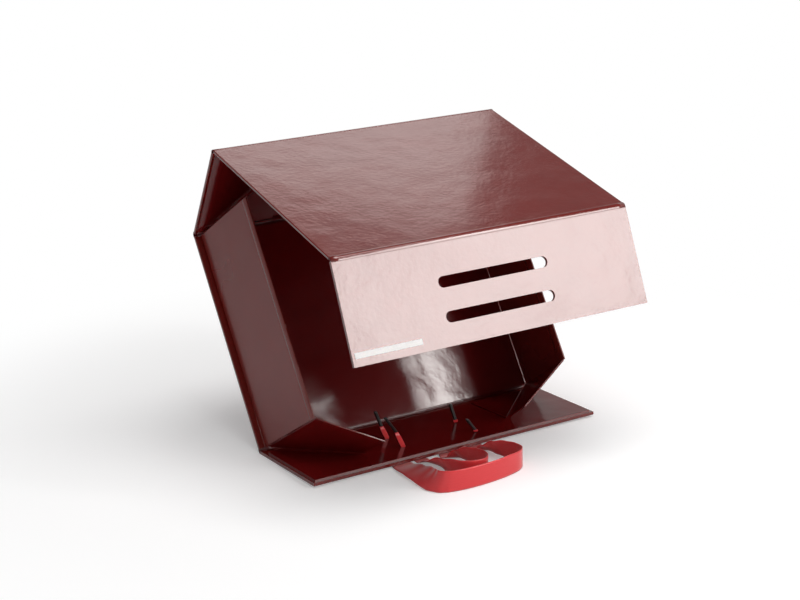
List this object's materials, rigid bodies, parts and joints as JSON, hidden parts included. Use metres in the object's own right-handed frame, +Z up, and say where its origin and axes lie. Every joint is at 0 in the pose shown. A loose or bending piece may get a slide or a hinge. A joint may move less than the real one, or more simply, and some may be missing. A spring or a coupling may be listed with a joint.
{
  "type": "rigid gift box",
  "caption": "Collapsible rigid gift box standing open on its front wall, with a hinged lid, a slotted front flap, a tray with web corners and ribbon handles.",
  "frame": {"origin": "centre of the bounding box, on the ground", "axes": "+X along the box, towards the picture's right, -Y towards the viewer's side where the handles lie, +Z up"},
  "size_m": [0.31, 0.299, 0.2764],
  "materials": {
    "red_paper": "gloss laminated",
    "red_tray_paper": "gloss laminated",
    "red_fold_strip": "gloss laminated",
    "red_ribbon": "satin",
    "black_tip": "satin",
    "white_label": "matt"
  },
  "bodies": {
    "base": {"base_panel": "red_paper", "tray_base": "red_tray_paper", "front_fold_strip": "red_fold_strip", "rear_fold_strip": "red_fold_strip"},
    "spine": {"spine_panel": "red_paper", "rear_left_web_triangle": "red_tray_paper", "rear_right_web_triangle": "red_tray_paper", "lid_fold_strip": "red_fold_strip"},
    "lid": {"lid_panel": "red_paper", "flap_fold_strip": "red_fold_strip"},
    "flap": {"front_flap": "red_paper", "blank_label": "white_label"},
    "front": {"front_wall": "red_paper", "front_wall_facing": "red_tray_paper", "front_left_web_triangle": "red_tray_paper", "front_right_web_triangle": "red_tray_paper", "outer_ribbon_handle": "red_ribbon", "inner_ribbon_handle": "red_ribbon", "outer_left_ribbon_tip": "black_tip", "outer_right_ribbon_tip": "black_tip", "inner_left_ribbon_tip": "black_tip", "inner_right_ribbon_tip": "black_tip"},
    "left_wall": {"left_side_wall": "red_tray_paper"},
    "right_wall": {"right_side_wall": "red_tray_paper"},
    "front_left_web": {"front_left_web_flap": "red_tray_paper"},
    "front_right_web": {"front_right_web_flap": "red_tray_paper"},
    "rear_left_web": {"rear_left_web_flap": "red_tray_paper"},
    "rear_right_web": {"rear_right_web_flap": "red_tray_paper"}
  },
  "joints": [
    {"name": "front_wall_fold", "type": "hinge", "parent": "base", "child": "front", "pos_m": [-0.155, 0.03382, 0.00152], "axis": [-1, 0, 0], "range_deg": [-1, 12.97]},
    {"name": "spine_fold", "type": "hinge", "parent": "base", "child": "spine", "pos_m": [-0.155, 0.14897, 0.1858], "axis": [1, 0, 0], "range_deg": [0, 11]},
    {"name": "lid_fold", "type": "hinge", "parent": "spine", "child": "lid", "pos_m": [-0.155, 0.0981, 0.27536], "axis": [1, 0, 0], "range_deg": [-75, 0]},
    {"name": "flap_fold", "type": "hinge", "parent": "lid", "child": "flap", "pos_m": [-0.155, -0.11306, 0.21878], "axis": [1, 0, 0], "range_deg": [-53, 0]},
    {"name": "left_wall_fold", "type": "hinge", "parent": "base", "child": "left_wall", "pos_m": [-0.1477, 0.03102, 0.00327], "axis": [0, -0.5299, -0.848], "range_deg": [-1, 6.27]},
    {"name": "right_wall_fold", "type": "hinge", "parent": "base", "child": "right_wall", "pos_m": [0.148, 0.03102, 0.00327], "axis": [0, 0.5299, 0.848], "range_deg": [-1, 6.27]},
    {"name": "front_left_web_fold", "type": "hinge", "parent": "left_wall", "child": "front_left_web", "pos_m": [-0.1477, 0.03261, 0.00581], "axis": [0.0715, -0.8459, 0.5286], "range_deg": [-1, 13.33]},
    {"name": "front_right_web_fold", "type": "hinge", "parent": "right_wall", "child": "front_right_web", "pos_m": [0.148, 0.03261, 0.00581], "axis": [0.1392, 0.8398, -0.5248], "range_deg": [-1, 13.33]},
    {"name": "rear_left_web_fold", "type": "hinge", "parent": "left_wall", "child": "rear_left_web", "pos_m": [-0.1477, 0.14469, 0.18517], "axis": [-0.0715, 0.8459, -0.5286], "range_deg": [-1, 12.49]},
    {"name": "rear_right_web_fold", "type": "hinge", "parent": "right_wall", "child": "rear_right_web", "pos_m": [0.148, 0.14469, 0.18517], "axis": [-0.1392, -0.8398, 0.5248], "range_deg": [-1, 12.49]}
  ],
  "couplings": [
    {"joint": "front_wall_fold", "follows": "spine_fold", "ratio": 1.088},
    {"joint": "left_wall_fold", "follows": "spine_fold", "ratio": 0.479},
    {"joint": "right_wall_fold", "follows": "spine_fold", "ratio": 0.479},
    {"joint": "front_left_web_fold", "follows": "spine_fold", "ratio": 1.121},
    {"joint": "front_right_web_fold", "follows": "spine_fold", "ratio": 1.121},
    {"joint": "rear_left_web_fold", "follows": "spine_fold", "ratio": 1.045},
    {"joint": "rear_right_web_fold", "follows": "spine_fold", "ratio": 1.045}
  ]
}
